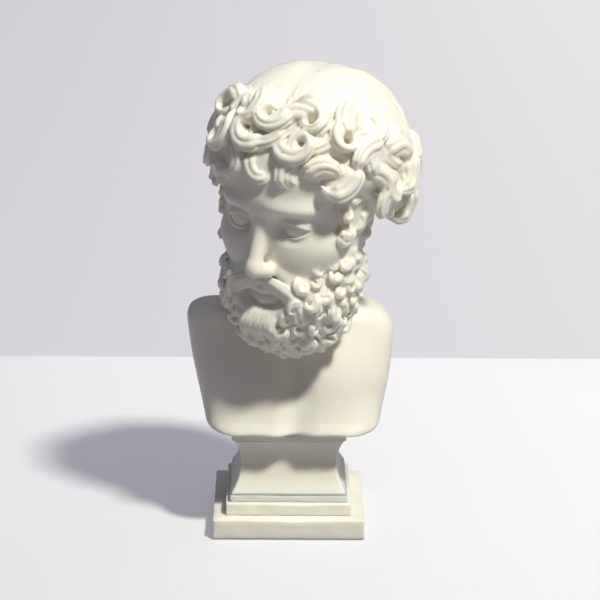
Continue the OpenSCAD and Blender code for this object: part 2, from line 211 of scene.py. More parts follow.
# Front and back as shares of the chest's depth, and squareness, at shares of its height
FRONT_AT = ((0, 0.12, 0.38, 0.62, 0.85, 1), (0.585, 0.525, 0.45, 0.39, 0.33, 0.3))
BACK_AT = ((0, 0.2, 0.6, 0.9, 1), (0.4, 0.46, 0.48, 0.46, 0.45))
SQUARE_AT = ((0, 0.3, 1), (5, 3.2, 2.7))
# Rounding of the shoulders from front to back: height where it starts, middle, half depth and squareness
BEAM_FOOT, BEAM_MIDDLE, BEAM_HALF, BEAM_SQUARE = 14, 1, 27, 2.8
# Rolled lower edge of the chest: its rounding, how far the foot under it stands back,
# and the gaps over the seat
ROLL, FOOT_BACK = 1.3, 2.2
GAP_H, GAP_W = 0.9, 7.0
GAPS_AT = (-11, 13)


def hump(v, width):
    """Hump of height 1 that dies away over a width."""
    return np.exp(-(v / width) ** 2)


def trunk_half_width(h, side):
    """Half width of the trunk at a height above the underside, on the left (0) or the right (1)."""
    top_round = SHOULDER_ROUND[side]
    low, high = SHOULDER_W / 2 - SIDE_LEAN, SHOULDER_W / 2
    turn = np.linspace(0, math.pi / 2, 24)
    share = turn[1:-1] * 2 / math.pi
    top = SHOULDER_H - top_round
    heights = [CHEST_CORNER_H * (1 - np.cos(turn)), CHEST_CORNER_H + share * (top - CHEST_CORNER_H),
               top + top_round * np.sin(turn)]
    widths = [CHEST_FOOT_W / 2 + (low - CHEST_FOOT_W / 2) * np.sin(turn),
              low + SIDE_LEAN * (share + SIDE_SWELL * (np.sin(turn[1:-1]) - share)),
              high - top_round * (1 - np.cos(turn))]
    return np.interp(h, np.concatenate(heights), np.concatenate(widths))


def trunk_form(x, y, z):
    """Shape of the cut shoulders, with its distances evened out."""
    h = z - SEAT
    share = h / SHOULDER_H
    x = x - CHEST_FOOT_SIDE * np.clip(1 - share, 0, 1)
    square = np.interp(share, *SQUARE_AT)
    deep = CHEST_D * np.where(y < 0, np.interp(share, *FRONT_AT), np.interp(share, *BACK_AT))
    wide = np.where(x < 0, trunk_half_width(h, 0), trunk_half_width(h, 1))
    ratio = np.maximum((np.abs(x) / wide) ** square + (np.abs(y) / deep) ** square, 1e-4) ** (1 / square)
    d = np.sqrt(x ** 2 + y ** 2) * (1 - 1 / ratio)
    slope = np.sqrt(sum(g ** 2 for g in np.gradient(d, VOXEL)))
    d = (d / np.maximum(slope, 1)).astype(np.float32)
    up = np.maximum(h - BEAM_FOOT, 0) / (SHOULDER_H - BEAM_FOOT)
    beam = (np.abs(y - BEAM_MIDDLE) / BEAM_HALF) ** BEAM_SQUARE + up ** BEAM_SQUARE
    return soft_max(d, (beam ** (1 / BEAM_SQUARE) - 1) * BEAM_HALF, 2)


def chest_form(x, y, z):
    """Shape of the cut shoulders: a rolled lower edge over a smaller foot, in two shallow arches."""
    h = z - SEAT
    d = trunk_form(x, y, z)
    arch = sum(GAP_H * hump(x - at, GAP_W) for at in GAPS_AT)
    return np.minimum(soft_max(d, arch - h, ROLL), soft_max(d + FOOT_BACK, -h, 0.3))


def trunk(clay):
    """Shoulders, chest and neck."""
    clay.add((-40, -30, SEAT - 2), (46, 34, SEAT + SHOULDER_H + 18), chest_form, 0.5)
    neck = [NECK_FOOT, head_at((0, 1, -22)), head_at((0, 6, -6))]
    rod(clay, neck, np.array(NECK_SHARES) * NECK_D, 3)
    nape = head_at((0, 7, -22))
    breastbone = [(2.5, -16.5, SEAT + 31), (2.5, -20.6, SEAT + 18), (2.5, -25.2, SEAT + 4)]
    for side in SIDES:
        # Breast muscle, collar bone, neck tendon and the slope from the neck to the shoulder
        at = np.array([2 + side * 13.5, -9.2, SEAT + 19])
        way = rotation(side * 14, -20, side * 14)
        half = np.array([13, 7.2, 11.5])
        clay.add(*egg_box(at, way, half, MARGIN + 7), egg_form(at, way, half), 7)
        notch = np.array([3 + side * 3.4, -11.4, SEAT + 34.5])
        collar = [notch, (side * 13 + 1, -10, SEAT + 35.4), (side * 25, -5.5, SEAT + 36)]
        rod(clay, collar, (1.3, 1.2, 0.9), 3.4)
        rod(clay, [notch + (0, 1, 0), head_at((side * 15, 0, -20))], (2.0, 3.4), 5)
        slope = [nape + (side * 4, 0, 0), (side * 12 + 4, 6, SEAT + 34), (side * 24, 3, SEAT + 31)]
        rod(clay, slope, (6, 6, 4), 5)
    rod(clay, breastbone, (1.6, 2.0, 1.6), 7, cut=True)


# Face of a plain canon: eyes half way up the head, one eye's width apart, and equal thirds below the hairline
EYE = np.array([9.8, -19.9, -0.4])
EYE_R, LID_T, EYE_HALF_W = 4.8, 0.95, 5.4
LID_UP, LID_LOW, LID_MIDDLE = 2.6, 2.0, -0.3
MOUTH_Z = -22.4


def skull(clay):
    """Cranium, forehead, face, jaw and chin."""
    egg(clay, (0, 1.9, 7.2), (24.0, 28.8, 27.4), 3)
    egg(clay, (0, -8.6, 14), (20, 17.8, 17), 4)
    egg(clay, (0, -8.4, -9), (18.6, 18.6, 26), 5)
    egg(clay, (0, -11, -24), (16, 15.2, 11), 4)
    egg(clay, (0, -22.5, -31.5), (6.5, 6, 4.6), 3)


def brows_and_cheeks(clay):
    """Brow ridges, cheek bones, cheeks and sockets."""
    pair(clay, (9.0, -22.4, 7.0), (8.8, 4.4, 2.7), 3.5, turn=(25, 0, 8))
    egg(clay, (0, -23.4, 7.4), (4.6, 3, 4.0), 3.5)
    pair(clay, (15.2, -11.5, -10), (5.6, 9, 14), 5)
    pair(clay, (13.2, -17.2, -8), (6.4, 6.0, 4.6), 6)
    pair(clay, (8.6, -20.6, -13.5), (6.6, 5.0, 8), 6)
    pair(clay, (10.2, -29.4, 0.4), (7.6, 7.2, 5.0), 2.2, turn=(14, 0, 4), cut=True)


def nose(clay):
    """Straight bridge, round tip, wings and nostrils."""
    head_rod(clay, [(0, -23.6, 5.4), (0, -27.0, -1.5), (0, -31.6, -10.4)], (2.3, 2.2, 2.5), 3)
    egg(clay, (0, -32.4, -12.4), (2.9, 2.8, 2.6), 2.2)
    pair(clay, (3.3, -29.0, -13.6), (1.9, 3.3, 2.3), 1.8, turn=(-16, 0, 0))
    head_rod(clay, [(0, -31.6, -13.7), (0, -27.4, -15.4)], (1.2, 1.5), 1.6)
    pair(clay, (2.0, -30.2, -15.8), (1.1, 1.9, 1.2), 0.6, cut=True)


def lips(clay):
    """Closed, level mouth."""
    egg(clay, (0, -22.6, MOUTH_Z), (9.5, 5.2, 6.2), 3)
    for side in SIDES:
        head_rod(clay, [(0, -28.1, MOUTH_Z + 1.4), (side * 2.2, -28.4, MOUTH_Z + 1.6),
                        (side * 7.6, -25.5, MOUTH_Z + 0.1)], (1.4, 1.5, 0.7), 1.2)
        head_rod(clay, [(0, -27.9, MOUTH_Z - 2.0), (side * 3, -27.5, MOUTH_Z - 1.9),
                        (side * 6.8, -25.5, MOUTH_Z - 0.9)], (1.9, 1.7, 0.8), 1.2)
        head_rod(clay, [(0, -30.2, MOUTH_Z), (side * 4, -28.8, MOUTH_Z + 0.1),
                        (side * 8.2, -26.0, MOUTH_Z - 0.3)], (0.55, 0.5, 0.4), 0.5, cut=True)


def ear(clay, side):
    """Plain ear, mostly under the hair."""
    egg(clay, (side * 21.6, 1.2, -3), (2.4, 4.4, 7.0), 1.5, (side * 10, 0, 0))
    egg(clay, (side * 24.0, 0.2, -2.4), (1.8, 2.4, 4.4), 0.8, (side * 10, 0, 0), cut=True)


def eye(clay, side):
    """Blank eyeball between an upper and a lower lid."""
    centre = head_at(EYE * (side, 1, 1))
    reach = EYE_R + LID_T + MARGIN

    def lids(x, y, z):
        px, py, pz = in_head(x, y, z, centre)
        round_off = np.maximum(1 - (px / EYE_HALF_W) ** 2, -0.5)
        shell = np.sqrt(px ** 2 + py ** 2 + pz ** 2) - EYE_R
        upper = soft_max(shell - LID_T, LID_UP * round_off + LID_MIDDLE - pz, 0.3)
        lower = soft_max(shell - 0.8 * LID_T, pz - LID_MIDDLE + LID_LOW * round_off, 0.3)
        return np.minimum(upper, lower)

    def ball(x, y, z):
        px, py, pz = in_head(x, y, z, centre)
        return np.sqrt(px ** 2 + py ** 2 + pz ** 2) - EYE_R

    clay.add(centre - reach, centre + reach, lids, 0.8)
    clay.add(centre - reach, centre + reach, ball, 0.15)


def face(clay):
    """The whole bare head."""
    skull(clay)
    brows_and_cheeks(clay)
    nose(clay)
    lips(clay)
    for side in SIDES:
        eye(clay, side)
        ear(clay, side)


# Hair: each lock is a broad band along a path, grooved between its strands and drawn to a point at its tip
# Width and thickness of a lock, and its height over the surface, at shares of its length
LOCK_AT = (0, 0.3, 0.7, 1)
LOCK_WIDE = (0.4, 1.0, 0.8, 0.13)
LOCK_HIGH = (-1.2, 0.2, 0.6, 0.1)
# Sharpness with which a lock curls up towards its tip, and how far its outer edge stands up, in degrees
LOCK_TIGHTEN, LOCK_ROLL = 1.9, 24
# Depth of the grooves as a share of the lock's thickness, and how sharply they are cut
GROOVE, GROOVE_POWER = 0.24, 0.7


def unit(v):
    """Vector of length 1."""
    return v / np.linalg.norm(v)


def units(rows):
    """Rows of vectors, each made 1 long."""
    return rows / np.maximum(np.linalg.norm(rows, axis=-1, keepdims=True), 1e-9)


def rotation_about(axis, degrees):
    """Turn about any axis."""
    return np.array(Matrix.Rotation(math.radians(degrees), 3, Vector(axis)))


def lock(clay, path, outs, wide, thick, strands, soft, twist=0.0):
    """Merges a lock along a path in the head frame, whose face looks along outs."""
    path = HEAD_MIDDLE + np.asarray(path) @ HEAD_WAY.T
    outs = np.broadcast_to(outs, path.shape) @ HEAD_WAY.T
    ways = units(np.gradient(path, axis=0))
    sides = units(np.cross(ways, outs))
    outs = np.cross(sides, ways)
    room = max(wide.max(), thick.max()) + MARGIN
    spans, (x, y, z) = clay.block(path.min(axis=0) - room, path.max(axis=0) + room)
    nearest = np.full(np.broadcast_shapes(x.shape, y.shape, z.shape), room ** 2, np.float32)
    share = np.full(nearest.shape, -1, np.float32)
    for i, (a, run) in enumerate(zip(path, np.diff(path, axis=0))):
        px, py, pz = x - a[0], y - a[1], z - a[2]
        t = np.clip((px * run[0] + py * run[1] + pz * run[2]) / (run @ run), 0, 1)
        d = (px - t * run[0]) ** 2 + (py - t * run[1]) ** 2 + (pz - t * run[2]) ** 2
        share = np.where(d < nearest, i + t, share)
        nearest = np.minimum(nearest, d)
    near = share >= 0
    at = share[near]
    spots = np.nonzero(near)
    steps = np.arange(len(path))
    off = [axis.ravel()[spots[k]] - np.interp(at, steps, path[:, k]) for k, axis in enumerate((x, y, z))]
    w, h = np.interp(at, steps, wide), np.interp(at, steps, thick)
    across, up, along = (sum(off[k] * np.interp(at, steps, rows[:, k]) for k in range(3))
                         for rows in (sides, outs, ways))
    size = np.sqrt((across / w) ** 2 + (up / h) ** 2 + (along / w) ** 2)
    slope = np.sqrt((across / w ** 2) ** 2 + (up / h ** 2) ** 2 + (along / w ** 2) ** 2)
    angle = np.arctan2(up / h, across / w) + twist * at / len(path)
    ridge = 1 - GROOVE * (1 - np.abs(np.sin(strands * angle)) ** GROOVE_POWER)
    d = size * (size - ridge) / np.maximum(slope, 1e-6)
    field = clay.field[spans]
    field[near] = soft_min(field[near], d, soft)


def curl(clay, middle, out, flow, long, wide, thick, bend, lead, hand, strands, soft, lift=0.0, bow=30):
    """Lock in the head frame that sets off along flow and curls more and more tightly to one side."""
    count = 10 + int(bend / 30)
    share = np.linspace(0, 1, count)
    heading = hand * np.radians(bend * share ** LOCK_TIGHTEN - lead)[:, None]
    across = np.cross(out, flow)
    ways = np.cos(heading) * flow + np.sin(heading) * across
    path = np.cumsum(ways, axis=0) * (long / count)
    path -= path.mean(axis=0)
    fall = (path ** 2).sum(axis=1) / (2 * bow)
    high = thick * (np.interp(share, LOCK_AT, LOCK_HIGH) + lift) - fall
    roll = math.radians(LOCK_ROLL)
    outs = math.cos(roll) * out - hand * math.sin(roll) * np.cross(ways, out)
    swell = np.interp(share, LOCK_AT, LOCK_WIDE)
    path = middle + path + high[:, None] * out
    lock(clay, path, outs, wide * swell, thick * np.maximum(swell, 0.4), strands, soft, draw.uniform(-1, 1))
    return path[count // 2:].mean(axis=0)


def on_egg(middle, half, round_deg, rise_deg):
    """Point on an egg in the head frame, with the directions out of it and down along it."""
    a, b = math.radians(round_deg), math.radians(rise_deg)
    ray = np.array([math.sin(a) * math.cos(b), -math.cos(a) * math.cos(b), math.sin(b)])
    point = middle + ray / np.linalg.norm(ray / half)
    out = unit((point - middle) / half ** 2)
    down = unit(np.array([0, 0, -1]) + out * out[2])
    return point, out, down


HAIR_T, CROWN_SIDE, CROWN_DRAW = 3, 5, 0.4
CAP_MIDDLE = SKULL * (0, 0.2, 0.24)
CAP_HALF = SKULL * (1, 0.9, 0.78) + HAIR_T
CROWN_HALF = CAP_HALF - (CROWN_DRAW * CROWN_SIDE, 0, 0)
CROWN_LOCKS, CROWN_LOCK_W, CROWN_LOCK_T, CROWN_RELIEF = 26, 4.2, 2.4, 0.8
CROWN_TOP, CROWN_FOOT, CROWN_FALL, CROWN_WAVE = 82, 18, 34, 12
# Hairline: height at places from front to back, in the head frame
HAIRLINE = ((-30, -24, -8, 4, 30), (24, 21, 8, -3, -13))
WREATH_CURL_D, WREATH_ROWS, WREATH_LAP = 11, 3, 0.8
WREATH_RISE, WREATH_SWING, WREATH_TEMPLE, WREATH_CROWD = -1, 25, 72, 0.14
WREATH_LIE = 4.2
# Width and thickness of a lock of the wreath as shares of its size, and the drills' radii
WREATH_W, WREATH_T = 0.37, 0.27
WREATH_DRILL, BEARD_DRILL = 1.6, 0.7
# Where the large ringlets over the brow sit: angle round from the front, and row
RINGLETS = ((-52, 1.9), (-24, 2.1), (4, 1.9), (31, 2.1), (58, 1.6), (-10, 1.0), (20, 0.8), (-38, 0.9))
WREATH_HALF = CAP_HALF + np.array([0.36, 0, 0]) * WREATH_CURL_D
WREATH_STEP = math.degrees(WREATH_CURL_D * WREATH_LAP / CAP_HALF[2])


def below_hairline(x, y, z):
    """Shape of all that lies under the hairline."""
    _, back, up = in_head(x, y, z)
    return 0.75 * (up - np.interp(back, *HAIRLINE))


def crown(clay):
    """Combed hair over the top, in two sides with a parting, in waves from the parting to the wreath."""
    for side in SIDES:
        egg(clay, CAP_MIDDLE + (side * CROWN_SIDE, 0, 0), CROWN_HALF, 1.5)
    middle = head_at(CAP_MIDDLE)
    clay.cut(middle - 45, middle + 45, below_hairline, 2)
    share = np.linspace(0, 1, 16)
    wide = CROWN_LOCK_W * np.interp(share, (0, 0.25, 0.8, 1), (0.35, 0.8, 1, 0.7))
    thick = CROWN_LOCK_T * np.interp(share, (0, 0.3, 1), (0.6, 1, 1))
    for i in range(CROWN_LOCKS):
        turn = (i + 0.5 + draw.uniform(-0.15, 0.15)) * 360 / CROWN_LOCKS
        side = np.clip(3 * math.sin(math.radians(turn)), -1, 1)
        phase = 1.3 * math.sin(math.radians(2 * turn)) + draw.uniform(-0.4, 0.4)
        foot = CROWN_FOOT - CROWN_FALL * (1 - math.cos(math.radians(turn))) / 2
        path, outs = [], []
        for s in share:
            wave = CROWN_WAVE * s * math.sin(7.5 * s + phase)
            point, out, _ = on_egg(CAP_MIDDLE + (side * CROWN_SIDE, 0, 0), CROWN_HALF, turn + wave,
                                   CROWN_TOP + s * (foot - CROWN_TOP))
            path.append(point - (CROWN_LOCK_T - CROWN_RELIEF + draw.uniform(0, 0.1)) * out)
            outs.append(out)
        lock(clay, path, np.array(outs), wide, thick, 4, 0.3, draw.uniform(-0.6, 0.6))


def wreath_spot(turn, row):
    """Point of the wreath at an angle round from the front, in a row that need not be whole."""
    front = math.cos(math.radians(turn))
    rise = WREATH_RISE + WREATH_SWING * front + row * WREATH_STEP * (1 - WREATH_CROWD * front)
    return on_egg(CAP_MIDDLE, WREATH_HALF, turn, rise)


def wreath_sink(turn, row):
    """How far a place of the wreath lies down: the upper rows do, towards the back."""
    behind = np.clip((0.35 - math.cos(math.radians(turn))) / 0.7, 0, 1)
    return WREATH_LIE * behind * (0.35 + 0.65 * np.clip(row - WREATH_ROWS + 2, 0, 1))


def wreath_curl(clay, turn, row, grade, lift, long=1.6, bend=(110, 205)):
    """One lock of the wreath, of a grade of size, which waves and ends in a hook."""
    point, out, down = wreath_spot(turn, row)
    point = point - wreath_sink(turn, row) * out
    flow = rotation_about(out, draw.uniform(-85, 85)) @ down
    size = WREATH_CURL_D * grade
    middle = curl(clay, point, out, flow, long * size, WREATH_W * size, WREATH_T * size, draw.uniform(*bend),
                  draw.uniform(25, 65), draw.choice(SIDES), draw.choice((3, 4)), 0.35, lift)
    return middle, out


def drill(clay, eyes, radius):
    """Deepens the hollows in the middle of some curls."""
    for middle, out in eyes:
        size = radius * draw.uniform(0.8, 1.1)
        axis = 1.2 * size * out
        head_rod(clay, [middle + axis, middle - axis], (1.2 * size, 0.4 * size), 1.2, cut=True)


def wreath(clay):
    """Rows of large locks round the hairline, on rounded lumps, with lesser locks between."""
    spots = []
    for row in range(-1, WREATH_ROWS):
        ring = 2 * math.pi * CAP_HALF[1] * math.cos(math.radians(WREATH_RISE + row * WREATH_STEP))
        count = round(ring / (WREATH_CURL_D * WREATH_LAP))
        for i in range(count):
            turn = (i + row / 2) * 360 / count
            if row >= 0 or math.cos(math.radians(turn)) < math.cos(math.radians(WREATH_TEMPLE)):
                spots.append((turn, row))
    for turn, row in spots:
        point, out, _ = wreath_spot(turn, row)
        sink = 0.25 * WREATH_CURL_D + wreath_sink(turn, row)
        egg(clay, point - sink * out, np.full(3, 0.43 * WREATH_CURL_D), 2)
    for turn, row in spots:
        behind = math.cos(math.radians(turn)) < 0.3
        for ahead, above in ((8, 0.5), (8, 0)):
            if behind and row + above > WREATH_ROWS - 1:
                continue
            wreath_curl(clay, turn + ahead + draw.uniform(-3, 3), row + above + draw.uniform(-0.2, 0.2),
                        draw.uniform(0.65, 0.85), draw.uniform(-0.6, 0))
    for turn, row in spots:
        wreath_curl(clay, turn + draw.uniform(-6, 6), row + draw.uniform(-0.25, 0.25),
                    draw.uniform(0.85, 1.1), draw.uniform(0, 0.6))
    eyes = [wreath_curl(clay, turn, row, draw.uniform(0.95, 1.1), 0.7, 2.1, (280, 340))
            for turn, row in RINGLETS]
    drill(clay, eyes, WREATH_DRILL)


BEARD_CURL_D, BEARD_LAP = 6.6, 0.72
BEARD_MIDDLE = SKULL * (0, -0.4, -0.74)
# How far the beard hangs below the jaw, and how far its mass stands out between the curls
BEARD_DROP, BEARD_BASE = 14.4, 0.2
BEARD_HALF = np.array([0.87 * SKULL[0], 0.64 * SKULL[1], 0.26 * SKULL[2] + BEARD_DROP - BEARD_CURL_D / 4])
BEARD_TOP, BEARD_LOW, BEARD_SIDE = 50, -84, 112
# Upper edge of the beard: how high it goes at angles round from the front, on the beard's own egg
EDGE_AT, EDGE_RISE = (0, 15, 30, 60, 95), (-32, -30, 10, 38, 52)


def beard_curl(clay, point, out, flow, grade, lift):
    """One small curl of the beard, of a grade of size, rolled up on a round lump."""
    flow = rotation_about(out, draw.uniform(-80, 80)) @ flow
    size = BEARD_CURL_D * grade
    egg(clay, point - 0.22 * size * out, np.full(3, 0.34 * size), 0.8)
    middle = curl(clay, point, out, flow, 1.35 * size, 0.3 * size, 0.25 * size, draw.uniform(190, 320),
                  draw.uniform(0, 50), draw.choice(SIDES), 3, 0.3, lift, 18)
    return middle, out


def beard(clay):
    """Full beard of small curls, open round the mouth."""
    egg(clay, BEARD_MIDDLE, BEARD_HALF + BEARD_BASE, 1)
    egg(clay, (0, -33, MOUTH_Z + 2), (10.5, 8, 7.5), 2, cut=True)
    eyes = []
    step = math.degrees(BEARD_CURL_D * BEARD_LAP / BEARD_HALF[1])
    for row, rise in enumerate(np.arange(BEARD_TOP, BEARD_LOW, -step)):
        wide = step / max(0.25, math.cos(math.radians(rise)))
        reach = int(BEARD_SIDE / wide)
        for i in range(-reach, reach + 1):
            turn = (i + (row % 2) / 2) * wide + draw.uniform(-3, 3)
            if rise > np.interp(abs(turn), EDGE_AT, EDGE_RISE):
                continue
            point, out, down = on_egg(BEARD_MIDDLE, BEARD_HALF, turn + wide / 2, rise - step / 2)
            beard_curl(clay, point, out, down, draw.uniform(0.65, 0.85), draw.uniform(-0.6, 0))
            point, out, down = on_egg(BEARD_MIDDLE, BEARD_HALF, turn, rise + draw.uniform(-3, 3))
            eyes.append(beard_curl(clay, point, out, down, draw.uniform(0.75, 1.1), draw.uniform(0, 0.8)))
    drill(clay, eyes[::4], BEARD_DRILL)


FRINGE_RISES, FRINGE_STEP = (-38, -58, -76), 6.0
FRINGE_LONG, FRINGE_W, FRINGE_T = 6.5, 1.6, 1.4


def fringe(clay):
    """Short hanging tips along the foot of the beard."""
    for rise in FRINGE_RISES:
        wide = math.degrees(FRINGE_STEP / (BEARD_HALF[0] * math.cos(math.radians(rise))))
        for turn in np.arange(-BEARD_SIDE, BEARD_SIDE, wide):
            point, out, down = on_egg(BEARD_MIDDLE, BEARD_HALF, turn + draw.uniform(-5, 5),
                                      rise + draw.uniform(-6, 6))
            flow = unit(rotation_about(out, draw.uniform(-35, 35)) @ down + 0.4 * out)
            out = unit(out - flow * (out @ flow))
            curl(clay, point, out, flow, FRINGE_LONG, FRINGE_W, FRINGE_T, draw.uniform(90, 210),
                 draw.uniform(10, 40), draw.choice(SIDES), 2, 0.3, 0.8, 18)


# Ends of a sideburn as shares of the skull, its steps and its width
SIDEBURN_TOP, SIDEBURN_FOOT = np.array([1.0, -0.24, 0.3]), np.array([0.86, -0.3, -0.62])
SIDEBURN_STEPS, SIDEBURN_W = 7, 9.5


def sideburns(clay):
    """Locks that join the wreath to the beard in front of the ears."""
    pair(clay, (19.8, -7, 6), (4.6, 6, 10), 2)
    for side in SIDES:
        out = unit(np.array([side * 0.9, -0.42, 0]))
        for s in np.linspace(0, 1, SIDEBURN_STEPS):
            spot = SKULL * (SIDEBURN_TOP + (SIDEBURN_FOOT - SIDEBURN_TOP) * s) * (side, 1, 1)
            egg(clay, spot - 4 * out, (5, 7.5, 5.5), 2)
            for shift in (-0.5, 0, 0.5):
                stray = (0, shift * SIDEBURN_W + draw.uniform(-1.5, 1.5), draw.uniform(-3, 3))
                beard_curl(clay, spot + stray, out, np.array([0, 0, -1.0]), draw.uniform(0.8, 1.3),
                           draw.uniform(-0.4, 0.5))


# Locks of the moustache on the right side, and locks of the tuft on each side of its middle one
MOUSTACHE = (
    ((0.9, -28.3, -17.2), (4.6, -28.8, -17.9), (9.2, -28.8, -19.6),
     (12.6, -28.8, -22.8), (13.8, -28.6, -27.5)),
    ((2.0, -28.9, -17.8), (6.0, -29.1, -18.8), (10.2, -29.0, -21.0),
     (13.0, -28.8, -25.0), (15.0, -28.0, -29.5)),
    ((0.7, -28.6, -18.4), (4.0, -29.0, -19.4), (8.2, -29.0, -21.2),
     (11.4, -29.2, -24.8), (12.4, -29.6, -29.5)),
)
TUFT_LOCKS = 3
# Half width and half thickness of these locks, and points along each
LIP_LOCK_W, LIP_LOCK_T, LIP_LOCK_STEPS = 1.9, 1.5, 16


def moustache(clay):
    """Swept locks on each side under the nose, and a tuft of wavy locks under the lip."""
    share = np.linspace(0, 1, LIP_LOCK_STEPS)
    swell = np.interp(share, (0, 0.3, 0.7, 1), (0.6, 1, 0.95, 0.5))
    wide, thick = LIP_LOCK_W * swell, LIP_LOCK_T * swell
    for side in SIDES:
        for path in MOUSTACHE:
            path = smooth(np.array(path) * (side, 1, 1), LIP_LOCK_STEPS)
            lock(clay, path, unit(np.array([side * 0.5, -1, 0.15])), wide, thick, 3, 0.35)
    egg(clay, (0, -27.2, -33), (8.5, 4.5, 6), 2)
    for k in range(-TUFT_LOCKS, TUFT_LOCKS + 1):
        sway = draw.uniform(0.3, 0.8)
        foot = draw.uniform(-38.6, -35.0)
        path = [(k * 1.0, -25.6, -26.8), (k * 1.5 + sway, -30.6, -29.0), (k * 1.7 - sway, -32.8, -32.4),
                (k * 1.9 + sway, -31.2, foot)]
        lock(clay, smooth(path, LIP_LOCK_STEPS), np.array([0.1 * k, -1.0, 0]), wide, thick, 3, 0.7)


def smooth(points, count):
    """Points along a smooth curve through some points."""
    points = np.asarray(points, float)
    ends = [2 * points[0] - points[1], *points, 2 * points[-1] - points[-2]]
    out = []
    for u in np.linspace(0, len(points) - 1 - 1e-6, count):
        i, t = int(u), u - int(u)
        a, b, c, d = ends[i:i + 4]
        out.append(0.5 * (2 * b + (c - a) * t + (2 * a - 5 * b + 4 * c - d) * t ** 2
                          + (3 * b - a - 3 * c + d) * t ** 3))
    return np.array(out)


# Meshes
def new_object(name, points, faces):
    """Smooth-shaded mesh object from points in millimetres, with coincident points merged."""
    mesh = bpy.data.meshes.new(name)
    mesh.from_pydata((np.asarray(points) * MM).tolist(), [], np.asarray(faces).tolist())
    work = bmesh.new()
    work.from_mesh(mesh)
    bmesh.ops.remove_doubles(work, verts=work.verts, dist=TOUCH * MM)
    work.to_mesh(mesh)
    work.free()
    mesh.shade_smooth()
    obj = bpy.data.objects.new(name, mesh)
    bpy.context.scene.collection.objects.link(obj)
    return obj


def keep_largest(obj):
    """Deletes the loose crumbs that lie beside an object's main surface."""
    work = bmesh.new()
    work.from_mesh(obj.data)
    left, groups = set(work.verts), []
    while left:
        group, front = [], [left.pop()]
        while front:
            vert = front.pop()
            group.append(vert)
            near = {edge.other_vert(vert) for edge in vert.link_edges} & left
            left -= near
            front.extend(near)
        groups.append(group)
    groups.sort(key=len)
    crumbs = [vert for group in groups[:-1] for vert in group]
    bmesh.ops.delete(work, geom=crumbs, context="VERTS")
    work.to_mesh(obj.data)
    work.free()


def apply_modifiers(obj):
    """Replaces an object's mesh by the one that its modifiers make."""
    mesh = bpy.data.meshes.new_from_object(obj.evaluated_get(bpy.context.evaluated_depsgraph_get()))
    obj.modifiers.clear()
    obj.data = mesh
    mesh.shade_smooth()


BUST_TRIANGLES = 195000


def bust():
    """Head and shoulders."""
    low, high = box_mm("bust")
    clay, hair = Clay(low - 3, high + 3), Clay(low - 3, high + 3)
    trunk(clay)
    face(clay)
    crown(hair)
    wreath(hair)
    beard(hair)
    fringe(hair)
    sideburns(hair)
    moustache(hair)
    clay.merge(hair, 0.5)
    grid = openvdb.FloatGrid(3 * VOXEL)
    grid.copyFromArray(np.clip(clay.field, -3 * VOXEL, 3 * VOXEL))
    points, quads = grid.convertToQuads(0)
    points = points * VOXEL + [axis[0] for axis in clay.axes]
    obj = new_object("bust_casting", points, quads)
    thin = obj.modifiers.new("thin", "DECIMATE")
    thin.ratio = min(1, BUST_TRIANGLES / (2 * len(quads)))
    apply_modifiers(obj)
    keep_largest(obj)
    print("bust", len(quads), "quads,", len(obj.data.polygons), "faces")
    return obj


# Socle: each course is a closed band of rounded-square rings round its bore
RING_SIDE, RING_CORNER = 24, 6
EDGE, CORNER, EDGE_STEPS = 0.5, 0.6, 4
COURSE_GAP, COUNTERBORE_GAP = 1, 1.2
# Width of the strip along the edges of each course that is uneven
PLINTH_LEDGE, LOWER_LEDGE, UPPER_LEDGE, CAP_LEDGE = 4.0, 1.2, 0.6, 0.8
ROD_R = box_mm("tie_rod")[1][0]
BUSH_R = box_mm("guide_bush")[1][0]
BUSH_FOOT = box_mm("guide_bush")[0][2]
BORE_R = ROD_R + COURSE_GAP
# Unevenness of the cast stone: sag of an edge in its middle, and waves of the faces
SAG, SAG_AT, SAG_W, WAVE, WAVE_LONG = 0.45, 2, 8, 0.09, 11.0


def square_ring(half, corner, z):
    """Ring of points of a square with rounded corners, or a circle where the corner is the half width."""
    points = []
    for quarter in range(4):
        way = np.array(Matrix.Rotation(math.pi / 2 * quarter, 2))
        middle = half - corner
        for a in np.linspace(0, math.pi / 2, RING_CORNER + 1):
            points.append(way @ (middle + corner * math.cos(a), middle + corner * math.sin(a)))
        for x in np.linspace(middle, -middle, RING_SIDE + 1)[1:-1]:
            points.append(way @ (x, half))
    return [(x, y, z) for x, y in points]


def band(name, rings):
    """Closed mesh through rings of half width, corner radius and height, and back to the first."""
    loops = [square_ring(*ring) for ring in rings]
    n = len(loops[0])
    faces = []
    for r in range(len(loops)):
        nxt = (r + 1) % len(loops)
        for i in range(n):
            j = (i + 1) % n
            faces.append((r * n + i, r * n + j, nxt * n + j, nxt * n + i))
    return name, np.array([p for loop in loops for p in loop]), faces


def edge_rings(half, z, up):
    """Rings round a soft edge at the top or the foot of a course, from its side to its face."""
    rings = []
    for a in np.linspace(0, math.pi / 2, EDGE_STEPS + 1):
        inset = EDGE * (1 - math.cos(a))
        rings.append((half - inset, max(CORNER - inset, 0.1), z - up * EDGE * (1 - math.sin(a))))
    return rings


def uneven(points, half, top, ledge):
    """Lowers the upper edges a little in their middle and waves the faces, within the solid's box."""
    x, y, z = points.T
    out = np.maximum(np.abs(x), np.abs(y))
    along = np.where(np.abs(x) > np.abs(y), y, x)
    near_edge = np.clip((out - half + ledge) / ledge, 0, 1)
    near_top = np.clip(1 - (top - z) / 2.5, 0, 1)
    sag = SAG * near_edge * near_top * hump(along - SAG_AT, SAG_W)
    wave = WAVE * near_edge * (1 + np.sin(along / WAVE_LONG * 2 * math.pi + 0.7 * z))
    shrink = 1 - wave / np.maximum(out, 1)
    return np.stack([x * shrink, y * shrink, z - sag], axis=1)


